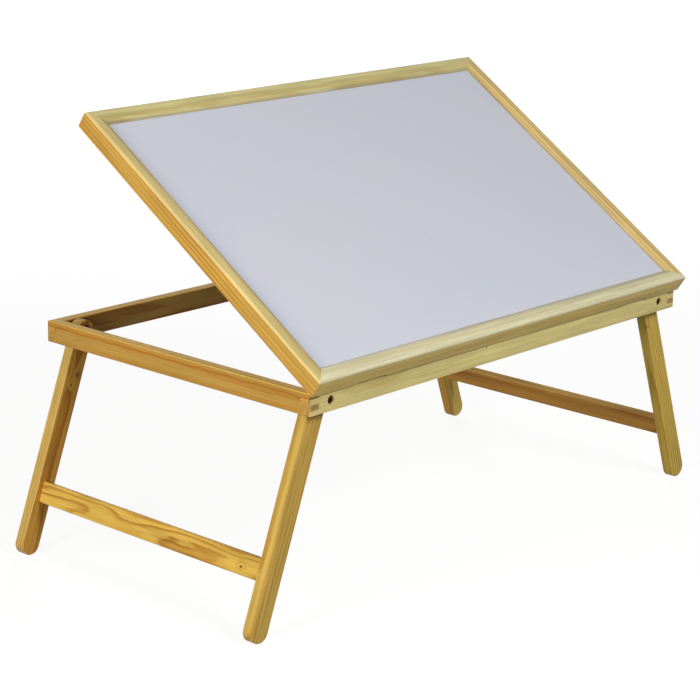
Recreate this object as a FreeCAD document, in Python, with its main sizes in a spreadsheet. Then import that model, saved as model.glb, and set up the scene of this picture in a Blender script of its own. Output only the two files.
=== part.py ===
import FreeCAD, Part
import math
import os
import Sketcher

# Folding bed tray table. A finger-jointed pine frame stands on two pairs of splayed legs that fold
# in under it. A white-faced tray with a mitred pine edge is hinged along the frame's front rail and
# held up by a prop, whose foot stands on a notched rail in the middle of the frame.
# Millimetres. +X runs along the long front rail, +Y to the back, +Z up. The origin is on the ground,
# under the middle of the table's bounding box, with the tray tilted as in use.

SIZES = [
    # Base frame
    ("base_width", 600, "length of the front and back rails"),
    ("base_depth", 377, "length of the side rails"),
    ("rail_height", 22.5, "height of the frame's rails"),
    ("rail_thickness", 12.5, "thickness of the frame's rails"),
    ("spine_width", 20, "width of the centre rail and of the tray's bearer"),
    # Legs and stretchers
    ("leg_width", 22.5, "width of a leg seen from the front"),
    ("leg_thickness", 12.5, "thickness of a leg, front to back"),
    ("leg_reach", 243, "from the pivot to the tip of the foot"),
    ("leg_splay", 20, "degrees that an opened leg leans outward"),
    ("stop_clearance", 0.3, "gap between an opened leg and the side rail that stops it"),
    ("stretcher_height", 22.5, "size of a stretcher along its legs"),
    ("stretcher_thickness", 9, "thickness of a stretcher"),
    ("stretcher_rise", 68.5, "from the tip of the foot to the middle of the stretcher"),
    # Pivot bolts
    ("bolt_diameter", 5, "shank of a leg's pivot bolt"),
    ("bolt_head_diameter", 8.6, "head of the pivot bolt"),
    ("bolt_head_height", 3, "height of that head"),
    ("bolt_sink_diameter", 9.2, "hole in the rail that the head is sunk in"),
    ("bolt_sink_depth", 5, "depth of that hole"),
    ("bolt_tail", 1, "bolt that stands out of its nut"),
    ("socket_size", 3, "hexagon socket across its flats"),
    ("socket_depth", 1.6, "depth of the hexagon socket"),
    ("washer_diameter", 12, "outside of a washer"),
    ("spacer_thickness", 1.5, "washer between rail and leg"),
    ("nut_washer_thickness", 1, "washer under a nut"),
    ("nut_size", 8, "nut across its flats"),
    ("nut_height", 4, "height of a nut"),
    ("running_clearance", 0.05, "radial play of a pivot"),
    ("side_play", 0.1, "gap beside a swinging piece, along its pivot"),
    # Dowels
    ("dowel_diameter", 6, "wooden dowel"),
    ("dowel_length", 24, "length of a dowel"),
    ("dowel_spacing", 10, "between the two dowels of a joint"),
    ("stretcher_dowel_embed", 8, "dowel inside a leg"),
    ("rail_dowel_embed", 9, "dowel inside a rail of the frame"),
    ("glue_line", 0.05, "radial room for glue round a dowel"),
    # Tray
    ("tray_side_overhang", 2, "tray beyond each side of the frame"),
    ("tray_overhang", 4, "tray in front of its hinge axis"),
    ("tray_back_overhang", 8, "lowered tray behind the frame"),
    ("tilt_angle", 33.4, "degrees that the tray is raised"),
    ("closing_gap", 0.4, "between the lowered tray and the frame"),
    ("moulding_width", 19, "width of the edge moulding"),
    ("moulding_height", 20, "height of the edge moulding"),
    ("shoulder_radius", 3, "rounding of its outer top edge"),
    ("crest_width", 9, "from the outside to where its top begins to fall"),
    ("lip_width", 1.5, "narrow flat beside the panel"),
    ("lip_thickness", 0.9, "wood over the edge of the panel"),
    ("quirk_height", 0.5, "small step between that flat and the rounded top"),
    ("panel_thickness", 3, "white-faced board"),
    ("panel_recess", 4.8, "panel below the top of the moulding"),
    ("groove_depth", 6, "depth of the groove that holds the panel"),
    ("groove_play", 0.05, "room above and below the panel in its groove"),
    ("panel_edge_gap", 0.5, "room at the bottom of the groove"),
    ("bearer_thickness", 10, "batten under the panel"),
    ("bearer_dowel_embed", 12, "dowel inside a moulding"),
    ("staple_width", 12, "corner staple across the mitre"),
    ("staple_wire", 1.2, "wire of a corner staple"),
    ("staple_depth", 8, "corner staple into the wood"),
    # Hinges
    ("hinge_length", 40.5, "length of a butt hinge"),
    ("hinge_inset", 82.5, "from the end of the frame to the middle of a hinge"),
    ("knuckle_diameter", 4, "outside of a hinge knuckle"),
    ("knuckle_gap", 1.6, "between neighbouring knuckles"),
    ("knuckle_room", 0.3, "radial room round the knuckles"),
    ("hinge_pin_diameter", 2, "hinge pin"),
    ("leaf_width", 10, "hinge leaf from the pin's axis to its back edge"),
    ("leaf_thickness", 0.8, "thickness of a hinge leaf"),
    ("hinge_screw_spacing", 26, "between the two screws of a leaf"),
    ("hinge_screw_setback", 6.3, "from the pin's axis to the screws"),
    ("hinge_screw_diameter", 2.5, "shank of a hinge screw"),
    ("hinge_screw_head", 5, "countersunk head of a hinge screw"),
    ("hinge_screw_length", 9, "length of a hinge screw"),
    # Prop and its rack
    ("foot_back_margin", 24, "from the back rail to the prop's foot when the tray is down"),
    ("prop_arm_width", 12, "width of a prop arm in the plane that it swings in"),
    ("prop_arm_thickness", 10, "thickness of a prop arm"),
    ("prop_panel_clearance", 0.5, "between the arms' round ends and the panel"),
    ("prop_side_gap", 0.8, "between an arm and the bearer"),
    ("prop_bolt_diameter", 5, "bolt that the prop swings on"),
    ("prop_bolt_head_diameter", 8, "head of that bolt"),
    ("prop_bolt_head_height", 2.6, "height of that head"),
    ("foot_dowel_diameter", 8, "dowel that is the prop's foot"),
    ("foot_clearance", 0.3, "between the foot and the tips of the rack"),
    ("notch_depth", 3, "depth of a seat in the rack"),
    ("notch_play", 0.3, "radial room of the foot in its seat"),
    ("notch_count", 5, "number of seats"),
    ("relief_width", 10, "housing in the bearer that takes the foot of the folded prop"),
]

# Places and sizes that follow from the ones above.
LAYOUT = [
    ("finger_height", "=Sizes.rail_height / 4"),
    ("pivot_height", "=(Sizes.leg_reach - Sizes.leg_width / 2) * cos(Sizes.leg_splay) + Sizes.leg_width / 2"),
    ("base_bottom", "=pivot_height - Sizes.rail_height / 2"),
    ("stretcher_drop", "=Sizes.leg_reach - Sizes.stretcher_rise"),
    ("stop_drop", "=Sizes.rail_height / 2 + Sizes.leg_width / 2 * sin(Sizes.leg_splay)"),
    ("leg_lean", "=Sizes.leg_width / 2 * cos(Sizes.leg_splay) + stop_drop * tan(Sizes.leg_splay)"),
    ("pivot_x", "=Sizes.base_width / 2 - Sizes.rail_thickness - Sizes.stop_clearance - leg_lean"),
    ("leg_near", "=Sizes.rail_thickness + Sizes.spacer_thickness + Sizes.side_play"),
    ("leg_far", "=leg_near + Sizes.leg_thickness"),
    ("nut_washer_near", "=leg_far + Sizes.side_play"),
    ("nut_near", "=nut_washer_near + Sizes.nut_washer_thickness"),
    ("bolt_end", "=nut_near + Sizes.nut_height + Sizes.bolt_tail"),
    ("hinge_axis", "=Sizes.rail_height + Sizes.closing_gap / 2"),
    ("hinge_x", "=Sizes.base_width / 2 - Sizes.hinge_inset"),
    ("knuckle_pitch", "=Sizes.hinge_length / 5"),
    ("panel_bottom", "=Sizes.moulding_height - Sizes.panel_recess - Sizes.panel_thickness"),
    ("groove_bottom", "=panel_bottom - Sizes.groove_play"),
    ("groove_top", "=panel_bottom + Sizes.panel_thickness + Sizes.groove_play"),
    ("lip_top", "=groove_top + Sizes.lip_thickness"),
    ("panel_margin", "=Sizes.moulding_width - Sizes.groove_depth + Sizes.panel_edge_gap"),
    ("tray_width", "=Sizes.base_width + 2 * Sizes.tray_side_overhang"),
    ("tray_back", "=Sizes.base_depth + Sizes.tray_back_overhang"),
    ("tray_depth", "=tray_back + Sizes.tray_overhang"),
    ("shoulder_y", "=Sizes.shoulder_radius - Sizes.tray_overhang"),
    ("shoulder_z", "=Sizes.moulding_height - Sizes.shoulder_radius + Sizes.closing_gap / 2"),
    ("foremost", "=shoulder_y * cos(Sizes.tilt_angle) - shoulder_z * sin(Sizes.tilt_angle) - Sizes.shoulder_radius"),
    ("front_y", "=-(foremost + Sizes.base_depth) / 2"),
    ("prop_pivot_z", "=panel_bottom - Sizes.prop_arm_width / 2 - Sizes.prop_panel_clearance"),
    ("prop_pivot_depth", "=(Sizes.base_depth - Sizes.rail_thickness - Sizes.foot_back_margin) / 2"),
    ("prop_rise", "=atan((prop_pivot_z + Sizes.closing_gap / 2) / prop_pivot_depth) / 1 deg"),
    ("prop_reach", "=prop_pivot_depth / cos(prop_rise)"),
    ("prop_slope", "=Sizes.tilt_angle + prop_rise"),
    ("prop_inner", "=Sizes.spine_width / 2 + Sizes.prop_side_gap"),
    ("prop_outer", "=prop_inner + Sizes.prop_arm_thickness"),
    ("foot_y", "=2 * prop_reach * cos(prop_slope)"),
    ("foot_y_lowered", "=2 * prop_pivot_depth"),
    ("notch_pitch", "=(foot_y_lowered - foot_y) / Sizes.notch_count"),
    ("foot_room", "=Sizes.foot_dowel_diameter / 2 + Sizes.foot_clearance"),
    ("rack_height", "=hinge_axis - foot_room"),
    ("notch_radius", "=Sizes.foot_dowel_diameter / 2 + Sizes.notch_play"),
]

doc = FreeCAD.newDocument("bed_tray_table")
nodes = []


# ---------------------------------------------------------------- sheets
def fill_sheet(name, rows):
    sheet = doc.addObject("Spreadsheet::Sheet", name)
    for row, (alias, content, *meaning) in enumerate(rows, 1):
        sheet.set(f"A{row}", meaning[0] if meaning else alias)
        sheet.set(f"B{row}", str(content))
        sheet.setAlias(f"B{row}", alias)
    doc.recompute()
    return sheet


sizes = fill_sheet("Sizes", SIZES)
layout = fill_sheet("Layout", LAYOUT)


# ---------------------------------------------------------------- building blocks
def at(x="0", y="0", z="0", axis="0; 0; 1", angle="0"):
    """A place with its turn about an axis, as an expression."""
    return f"placement(vector({x}; {y}; {z}); rotation(vector({axis}); {angle}))"


def along_x(x, y, z):
    """The place of a round piece whose axis runs to +X."""
    return at(x, y, z, "0; 1; 0", "90")


def along_y(x, y, z):
    """The place of a round piece whose axis runs to +Y."""
    return at(x, y, z, "1; 0; 0", "-90")


def primitive(kind, name, place, **bound):
    solid = doc.addObject(kind, name)
    for prop, expression in bound.items():
        solid.setExpression(prop, expression)
    solid.setExpression("Placement", place)
    return solid


def block(name, place, length, width, height):
    return primitive("Part::Box", name, place, Length=length, Width=width, Height=height)


def rod(name, place, radius, length):
    return primitive("Part::Cylinder", name, place, Radius=radius, Height=length)


def cone(name, place, radius, end_radius, length):
    return primitive("Part::Cone", name, place, Radius1=radius, Radius2=end_radius, Height=length)


def hexagon(name, place, across_flats, length):
    prism = doc.addObject("Part::Prism", name)
    prism.Polygon = 6
    prism.setExpression("Circumradius", f"{across_flats} / 2 / cos(30)")
    prism.setExpression("Height", length)
    prism.setExpression("Placement", place)
    return prism


def union(name, shapes):
    joined = doc.addObject("Part::MultiFuse", name)
    joined.Shapes = shapes
    joined.Refine = True
    return joined


def cut(name, stock, tools):
    result = doc.addObject("Part::Cut", name)
    result.Base = stock
    result.Tool = tools[0] if len(tools) == 1 else union(name + "_tools", tools)
    result.Refine = True
    return result


def group(name, shapes):
    """Like pieces that share a node and stay separate solids."""
    together = doc.addObject("Part::Compound", name)
    together.Links = shapes
    return together


def as_node(piece, label, place):
    """Name a finished piece and put it in its place in the table."""
    piece.Label = label
    piece.setExpression("Placement", place)
    nodes.append(piece)
    return piece


def origin_plane(body, role):
    return next(feature for feature in body.Origin.OriginFeatures if feature.Role == role)


def pin_point(sketch, geometry, point, x, y):
    """Fix a point of a sketch to its coordinates, given as expressions."""
    for kind, expression, axis in (("DistanceX", x, -2), ("DistanceY", y, -1)):
        if expression == "0":
            sketch.addConstraint(Sketcher.Constraint("PointOnObject", geometry, point, axis))
        else:
            value = float(sketch.evalExpression(expression))
            index = sketch.addConstraint(Sketcher.Constraint(kind, -1, 1, geometry, point, value))
            sketch.setExpression(f"Constraints[{index}]", expression)


def new_sketch(body, name, plane):
    sketch = body.newObject("Sketcher::SketchObject", name)
    sketch.AttachmentSupport = [(origin_plane(body, plane), "")]
    sketch.MapMode = "FlatFace"
    return sketch


def arc_between(start, end, centre_axis, centre_value):
    """The anticlockwise arc between two points whose centre has one known coordinate."""
    known, other = (0, 1) if centre_axis == "x" else (1, 0)
    right = (end[0] ** 2 + end[1] ** 2 - start[0] ** 2 - start[1] ** 2) / 2
    centre = [0.0, 0.0]
    centre[known] = centre_value
    centre[other] = (right - centre_value * (end[known] - start[known])) / (end[other] - start[other])
    angles = [math.atan2(p[1] - centre[1], p[0] - centre[0]) for p in (start, end)]
    if angles[1] <= angles[0]:
        angles[1] += 2 * math.pi
    circle = Part.Circle(FreeCAD.Vector(*centre, 0), FreeCAD.Vector(0, 0, 1), math.dist(centre, start))
    return Part.ArcOfCircle(circle, *angles)


def draw_outline(sketch, corners):
    """A closed outline, anticlockwise. A corner (x, y) starts a line; a corner (x, y, axis, value)
    starts an arc whose centre has that x or y."""
    first = sketch.GeometryCount
    count = len(corners)
    points = [[float(sketch.evalExpression(c)) for c in corner[:2]] for corner in corners]
    for i, corner in enumerate(corners):
        start, end = points[i], points[(i + 1) % count]
        if len(corner) == 2:
            segment = Part.LineSegment(FreeCAD.Vector(*start, 0), FreeCAD.Vector(*end, 0))
        else:
            segment = arc_between(start, end, corner[2], float(sketch.evalExpression(corner[3])))
        sketch.addGeometry(segment, False)
    for i in range(count):
        following = first + (i + 1) % count
        sketch.addConstraint(Sketcher.Constraint("Coincident", first + i, 2, following, 1))
    for i, corner in enumerate(corners):
        pin_point(sketch, first + i, 1, corner[0], corner[1])
        if len(corner) == 4:
            pin_centre(sketch, first + i, corner[2], corner[3])


def pin_centre(sketch, arc, axis, expression):
    kind, line = ("DistanceX", -2) if axis == "x" else ("DistanceY", -1)
    if expression == "0":
        sketch.addConstraint(Sketcher.Constraint("PointOnObject", arc, 3, line))
    else:
        value = float(sketch.evalExpression(expression))
        index = sketch.addConstraint(Sketcher.Constraint(kind, -1, 1, arc, 3, value))
        sketch.setExpression(f"Constraints[{index}]", expression)


def draw_circle(sketch, x, y, radius):
    size = float(sketch.evalExpression(radius))
    circle = Part.Circle(FreeCAD.Vector(0, 0, 0), FreeCAD.Vector(0, 0, 1), size)
    index = sketch.addGeometry(circle, False)
    pin_point(sketch, index, 3, x, y)
    bound = sketch.addConstraint(Sketcher.Constraint("Radius", index, size))
    sketch.setExpression(f"Constraints[{bound}]", radius)


def padded(name, plane, corners, length, circles=(), place=None, middle=False, backward=False):
    """A body whose outline, with any round holes, is drawn on a plane and padded."""
    body = doc.addObject("PartDesign::Body", name)
    sketch = new_sketch(body, name + "_outline", plane)
    draw_outline(sketch, corners)
    for circle in circles:
        draw_circle(sketch, *circle)
    pad = body.newObject("PartDesign::Pad", name + "_pad")
    pad.Profile = sketch
    pad.setExpression("Length", length)
    pad.Midplane = middle
    pad.Reversed = backward
    if place:
        body.setExpression("Placement", place)
    doc.recompute()
    return body


def pocketed(body, name, plane, draw, length):
    """Cut what draw puts in a sketch right through the body, to both sides of the plane."""
    before = body.Shape.Volume
    sketch = new_sketch(body, name + "_sketch", plane)
    draw(sketch)
    pocket = body.newObject("PartDesign::Pocket", name)
    pocket.Profile = sketch
    pocket.Midplane = True
    pocket.setExpression("Length", length)
    doc.recompute()
    if body.Shape.Volume >= before:
        raise RuntimeError(name + " cuts nothing")
    return pocket, sketch


def frame(name, place):
    """A set of axes that a moving part of the table is built on."""
    axes = doc.addObject("App::Placement", name)
    axes.setExpression("Placement", place)
    doc.recompute()
    return name + ".Placement"


# ---------------------------------------------------------------- axes of the moving parts
BASE = frame("base_frame", at("0", "Layout.front_y", "Layout.base_bottom"))
LEG_PIVOT_X = {"left": "-Layout.pivot_x", "right": "Layout.pivot_x"}
LEG_TURN = {"left": "Sizes.leg_splay", "right": "-Sizes.leg_splay"}
LEGS = {
    side: frame(
        f"{side}_leg_frame",
        at(LEG_PIVOT_X[side], "Layout.front_y", "Layout.pivot_height", "0; 1; 0", LEG_TURN[side]),
    )
    for side in ("left", "right")
}
TRAY_TURN = at("0", "0", "Layout.hinge_axis", "1; 0; 0", "Sizes.tilt_angle")
TRAY = frame("tray_frame", f"{BASE} * {TRAY_TURN} * {at(z='Sizes.closing_gap / 2')}")
PROP_TURN = "90 - Layout.prop_slope - Sizes.tilt_angle"
PROP_PLACE = at("0", "Layout.prop_pivot_depth", "Layout.prop_pivot_z", "1; 0; 0", PROP_TURN)
PROP = frame("prop_frame", f"{TRAY} * {PROP_PLACE}")


# ---------------------------------------------------------------- dowelled joints
DOWEL_OFFSETS = {"a": "-Sizes.dowel_spacing / 2", "b": "Sizes.dowel_spacing / 2"}
DOWEL_HOLE = "Sizes.dowel_diameter / 2 + Sizes.glue_line"


def dowel(name, x, y, z):
    return rod(name, along_y(x, y, z), "Sizes.dowel_diameter / 2", "Sizes.dowel_length")


def dowel_hole(name, x, y, z):
    return rod(name, along_y(x, y, z), DOWEL_HOLE, "Sizes.dowel_length")


# ---------------------------------------------------------------- base frame
def fingered(length, low_finger):
    """Outline of a rail with two of its four rows cut back at both ends by a rail's thickness.
    low_finger says whether the lowest row reaches the end."""
    step = "Layout.finger_height"
    reach = {True: "0", False: "Sizes.rail_thickness"}
    far = {True: length, False: f"{length} - Sizes.rail_thickness"}
    rows = [low_finger, not low_finger, low_finger, not low_finger]
    heights = ["0", step, f"2 * {step}", f"3 * {step}", f"4 * {step}"]
    corners = []
    for row, full in enumerate(rows):
        corners += [(far[full], heights[row]), (far[full], heights[row + 1])]
    for row, full in reversed(list(enumerate(rows))):
        corners += [(reach[full], heights[row + 1]), (reach[full], heights[row])]
    return corners


def long_rail(name, near):
    return padded(
        name + "_stock", "XZ_Plane", fingered("Sizes.base_width", True), "Sizes.rail_thickness",
        place=at("-Sizes.base_width / 2", near, "0"), backward=True,
    )


def bolt_holes(name, sink_near, near):
    """Holes for the two pivot bolts of a long rail, with their heads' sinkings."""
    holes = []
    for side, x in LEG_PIVOT_X.items():
        shank = "Sizes.bolt_diameter / 2 + Sizes.running_clearance"
        middle = "Sizes.rail_height / 2"
        holes += [
            rod(f"{name}_{side}_hole", along_y(x, near, middle), shank, "Sizes.rail_thickness"),
            rod(f"{name}_{side}_sink", along_y(x, sink_near, middle),
                "Sizes.bolt_sink_diameter / 2", "Sizes.bolt_sink_depth"),
        ]
    return holes


BACK_RAIL_Y = "Sizes.base_depth - Sizes.rail_thickness"
FRONT_DOWEL_Y = "Sizes.rail_thickness - Sizes.rail_dowel_embed"
BACK_DOWEL_Y = f"{BACK_RAIL_Y} + Sizes.rail_dowel_embed - Sizes.dowel_length"
CENTRE_DOWELS = {
    f"{end}_{key}": (x, y, "Sizes.rail_height / 2")
    for end, y in (("front", FRONT_DOWEL_Y), ("back", BACK_DOWEL_Y))
    for key, x in DOWEL_OFFSETS.items()
}


def centre_dowel_holes(name, end):
    return [
        dowel_hole(f"{name}_{key}_dowel_hole", *place)
        for key, place in CENTRE_DOWELS.items() if key.startswith(end)
    ]


HINGE_X = {"left": "-Layout.hinge_x", "right": "Layout.hinge_x"}
SCREW_X = {"a": "-Sizes.hinge_screw_spacing / 2", "b": "Sizes.hinge_screw_spacing / 2"}


def leaf_bed(name, side, floor, axis_height, screw_floor):
    """What is cut out of the wood for a hinge: the leaf's bed, the knuckles' hollow, open to the
    front, and the screws' pilot holes. floor is the lower face of the bed."""
    x = HINGE_X[side]
    length = "Sizes.hinge_length + 2 * Sizes.running_clearance"
    start = f"{x} - ({length}) / 2"
    reach = "Sizes.leaf_width + Sizes.running_clearance"
    hollow = "Sizes.knuckle_diameter / 2 + Sizes.knuckle_room"
    mouth = "2 * Sizes.tray_overhang"
    tools = [
        block(f"{name}_{side}_bed", at(start, "0", floor), length, reach, "Sizes.leaf_thickness"),
        rod(f"{name}_{side}_hollow", along_x(start, "0", axis_height), hollow, length),
        block(f"{name}_{side}_mouth", at(start, f"-({mouth})", axis_height), length, mouth, hollow),
    ]
    for key, offset in SCREW_X.items():
        place = at(f"{x} + {offset}", "Sizes.hinge_screw_setback", screw_floor)
        tools.append(rod(f"{name}_{side}_pilot_{key}", place,
                         "Sizes.hinge_screw_diameter / 2 + Sizes.glue_line", "Sizes.hinge_screw_length"))
    return tools


front_tools = bolt_holes("front_rail", "0", "0") + centre_dowel_holes("front_rail", "front")
for side in HINGE_X:
    front_tools += leaf_bed("front_rail", side, "Sizes.rail_height - Sizes.leaf_thickness",
                            "Layout.hinge_axis", "Sizes.rail_height - Sizes.hinge_screw_length")
as_node(cut("front_rail", long_rail("front_rail", "0"), front_tools), "base_front_rail", BASE)

back_sink = "Sizes.base_depth - Sizes.bolt_sink_depth"
back_tools = bolt_holes("back_rail", back_sink, BACK_RAIL_Y) + centre_dowel_holes("back_rail", "back")
as_node(cut("back_rail", long_rail("back_rail", BACK_RAIL_Y), back_tools), "base_back_rail", BASE)

SIDE_RAIL_X = {"left": "-Sizes.base_width / 2", "right": "Sizes.base_width / 2 - Sizes.rail_thickness"}
for side, x in SIDE_RAIL_X.items():
    rail = padded(f"{side}_rail", "YZ_Plane", fingered("Sizes.base_depth", False), "Sizes.rail_thickness")
    as_node(rail, f"base_{side}_rail", f"{BASE} * {at(x)}")


# Centre rail: a bar between the long rails. The prop's foot travels in a recess in its top, whose
# floor has a row of half-round seats.
def recess_outline(sketch):
    start = "Layout.foot_y - Layout.foot_room"
    end = "Layout.foot_y_lowered + Layout.foot_room"
    draw_outline(sketch, [
        (start, "Layout.rack_height"), (end, "Layout.rack_height"),
        (end, "2 * Sizes.rail_height"), (start, "2 * Sizes.rail_height"),
    ])


def seat_outline(sketch):
    seat_centre = "Layout.rack_height - Sizes.notch_depth + Layout.notch_radius"
    draw_circle(sketch, "Layout.foot_y", seat_centre, "Layout.notch_radius")


rack = padded(
    "centre_bar", "YZ_Plane",
    [("Sizes.rail_thickness", "0"), (BACK_RAIL_Y, "0"),
     (BACK_RAIL_Y, "Sizes.rail_height"), ("Sizes.rail_thickness", "Sizes.rail_height")],
    "Sizes.spine_width", middle=True,
)
pocketed(rack, "recess", "YZ_Plane", recess_outline, "2 * Sizes.spine_width")
seat, seat_sketch = pocketed(rack, "seat", "YZ_Plane", seat_outline, "2 * Sizes.spine_width")
row = rack.newObject("PartDesign::LinearPattern", "seat_row")
row.Originals = [seat]
row.Direction = (seat_sketch, ["H_Axis"])
row.setExpression("Length", "Layout.notch_pitch * (Sizes.notch_count - 1)")
row.setExpression("Occurrences", "Sizes.notch_count")
rack.Tip = row
doc.recompute()
rack_tools = centre_dowel_holes("centre_rail", "front") + centre_dowel_holes("centre_rail", "back")
as_node(cut("centre_rail_cut", rack, rack_tools), "centre_rail", BASE)
centre_pins = [dowel(f"centre_dowel_{key}", *place) for key, place in CENTRE_DOWELS.items()]
as_node(group("centre_dowels", centre_pins), "centre_rail_dowels", BASE)


# ---------------------------------------------------------------- pivot bolts, washers and nuts
def corner_place(side, end):
    """Axes at a pivot, on the rail's outer face, with +Y inward along the bolt."""
    middle = "Sizes.rail_height / 2"
    if end == "front":
        return at(LEG_PIVOT_X[side], "0", middle)
    return at(LEG_PIVOT_X[side], "Sizes.base_depth", middle, "0; 0; 1", "180")


def ring(name, place, near, thickness):
    """A washer on the bolt."""
    disc = rod(name + "_disc", along_y("0", near, "0"), "Sizes.washer_diameter / 2", thickness)
    hole = rod(name + "_hole", along_y("0", near, "0"),
               "Sizes.bolt_diameter / 2 + Sizes.running_clearance", thickness)
    washer = cut(name, disc, [hole])
    washer.setExpression("Placement", place)
    return washer


def pivot_bolt(name):
    head_near = "Sizes.bolt_sink_depth - Sizes.bolt_head_height"
    head = rod(name + "_head", along_y("0", head_near, "0"), "Sizes.bolt_head_diameter / 2",
               "Sizes.bolt_head_height")
    shank = rod(name + "_shank", along_y("0", head_near, "0"), "Sizes.bolt_diameter / 2",
                f"Layout.bolt_end - ({head_near})")
    socket = hexagon(name + "_socket", along_y("0", head_near, "0"), "Sizes.socket_size",
                     "Sizes.socket_depth")
    return cut(name, union(name + "_solid", [head, shank]), [socket])


def nut(name, place, near, bolt_radius):
    body = hexagon(name + "_body", along_y("0", near, "0"), "Sizes.nut_size", "Sizes.nut_height")
    hole = rod(name + "_hole", along_y("0", near, "0"), bolt_radius, "Sizes.nut_height")
    result = cut(name, body, [hole])
    result.setExpression("Placement", place)
    return result


spacers = []
nut_washers = []
nuts = []
for end in ("front", "back"):
    for side in ("left", "right"):
        corner = f"{end}_{side}"
        place = corner_place(side, end)
        as_node(pivot_bolt(corner + "_bolt"), corner + "_pivot_bolt", f"{BASE} * {place}")
        spacers.append(ring(corner + "_spacer", place, "Sizes.rail_thickness", "Sizes.spacer_thickness"))
        nut_washers.append(ring(corner + "_nut_washer", place, "Layout.nut_washer_near",
                                "Sizes.nut_washer_thickness"))
        nuts.append(nut(corner + "_nut", place, "Layout.nut_near",
                        "Sizes.bolt_diameter / 2 + Sizes.running_clearance"))
as_node(group("spacers", spacers), "pivot_spacer_washers", BASE)
as_node(group("nut_washers", nut_washers), "pivot_nut_washers", BASE)
as_node(group("nuts", nuts), "pivot_nuts", BASE)


# ---------------------------------------------------------------- legs and stretchers
# A leg is round at both ends. It is drawn on its pivot, with the foot towards -Z.
HALF_LEG = "Sizes.leg_width / 2"
FOOT_CENTRE = "-(Sizes.leg_reach - Sizes.leg_width / 2)"
LEG_OUTLINE = [
    (HALF_LEG, "0", "y", "0"),
    (f"-{HALF_LEG}", "0"),
    (f"-{HALF_LEG}", FOOT_CENTRE, "y", FOOT_CENTRE),
    (HALF_LEG, FOOT_CENTRE),
]
LEG_Y = {"front": "Layout.leg_near", "back": "Sizes.base_depth - Layout.leg_far"}
STRETCHER_NEAR = "Layout.leg_far"
STRETCHER_LENGTH = "Sizes.base_depth - 2 * Layout.leg_far"
STRETCHER_DOWEL_Y = {
    "front": "Layout.leg_far - Sizes.stretcher_dowel_embed",
    "back": "Sizes.base_depth - Layout.leg_far + Sizes.stretcher_dowel_embed - Sizes.dowel_length",
}


def stretcher_dowel_places(end):
    return {
        f"{end}_{key}": ("0", STRETCHER_DOWEL_Y[end], f"{offset} - Layout.stretcher_drop")
        for key, offset in DOWEL_OFFSETS.items()
    }


for side, leg_frame in LEGS.items():
    pins = []
    stretcher_tools = []
    for end, near in LEG_Y.items():
        name = f"{side}_{end}_leg"
        pivot_hole = ("0", "0", "Sizes.bolt_diameter / 2 + Sizes.running_clearance")
        stock = padded(name + "_stock", "XZ_Plane", LEG_OUTLINE, "Sizes.leg_thickness",
                       circles=[pivot_hole], place=at(y=near), backward=True)
        places = stretcher_dowel_places(end)
        holes = [dowel_hole(f"{name}_{key}_hole", *place) for key, place in places.items()]
        as_node(cut(name + "_cut", stock, holes), name, leg_frame)
        pins += [dowel(f"{side}_pin_{key}", *place) for key, place in places.items()]
        stretcher_tools += [dowel_hole(f"{side}_bar_{key}_hole", *place) for key, place in places.items()]
    bar = block(
        f"{side}_bar", at("-Sizes.stretcher_thickness / 2", STRETCHER_NEAR,
                          "-Layout.stretcher_drop - Sizes.stretcher_height / 2"),
        "Sizes.stretcher_thickness", STRETCHER_LENGTH, "Sizes.stretcher_height",
    )
    as_node(cut(f"{side}_bar_cut", bar, stretcher_tools), f"{side}_stretcher", leg_frame)
    as_node(group(f"{side}_pins", pins), f"{side}_stretcher_dowels", leg_frame)


# ---------------------------------------------------------------- tray
# Section of the edge moulding: y from its outer face towards the panel, z up from its underside.
MOULDING_SECTION = [
    ("0", "0"),
    ("Sizes.moulding_width", "0"),
    ("Sizes.moulding_width", "Layout.groove_bottom"),
    ("Sizes.moulding_width - Sizes.groove_depth", "Layout.groove_bottom"),
    ("Sizes.moulding_width - Sizes.groove_depth", "Layout.groove_top"),
    ("Sizes.moulding_width", "Layout.groove_top"),
    ("Sizes.moulding_width", "Layout.lip_top"),
    ("Sizes.moulding_width - Sizes.lip_width", "Layout.lip_top"),
    ("Sizes.moulding_width - Sizes.lip_width", "Layout.lip_top + Sizes.quirk_height", "x", "Sizes.crest_width"),
    ("Sizes.crest_width", "Sizes.moulding_height"),
    ("Sizes.shoulder_radius", "Sizes.moulding_height", "x", "Sizes.shoulder_radius"),
    ("0", "Sizes.moulding_height - Sizes.shoulder_radius"),
]
MITRE_SPARE = "Sizes.moulding_width / 4"


def mitred_moulding(name, length):
    """A length of moulding along X, its ends cut at 45 degrees."""
    half = f"{length} / 2"
    body = padded(name, "YZ_Plane", MOULDING_SECTION, length, middle=True)

    def waste(sketch):
        inner = f"Sizes.moulding_width + {MITRE_SPARE}"
        draw_outline(sketch, [
            (f"{half} + {MITRE_SPARE}", f"-{MITRE_SPARE}"),
            (f"{half} + {MITRE_SPARE}", inner),
            (f"{half} - ({inner})", inner),
        ])
        draw_outline(sketch, [
            (f"-({half} + {MITRE_SPARE})", f"-{MITRE_SPARE}"),
            (f"-({half} - ({inner}))", inner),
            (f"-({half} + {MITRE_SPARE})", inner),
        ])

    pocketed(body, name + "_mitres", "XY_Plane", waste, "3 * Sizes.moulding_height")
    return body


BEARER_NEAR = "Sizes.moulding_width - Sizes.tray_overhang"
BEARER_FAR = "Layout.tray_back - Sizes.moulding_width"
BEARER_DOWEL_Z = "Layout.panel_bottom - Sizes.bearer_thickness / 2"
BEARER_DOWELS = {
    f"{end}_{key}": (x, y, BEARER_DOWEL_Z)
    for end, y in (("front", f"{BEARER_NEAR} - Sizes.bearer_dowel_embed"),
                   ("back", f"{BEARER_FAR} + Sizes.bearer_dowel_embed - Sizes.dowel_length"))
    for key, x in DOWEL_OFFSETS.items()
}


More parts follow.
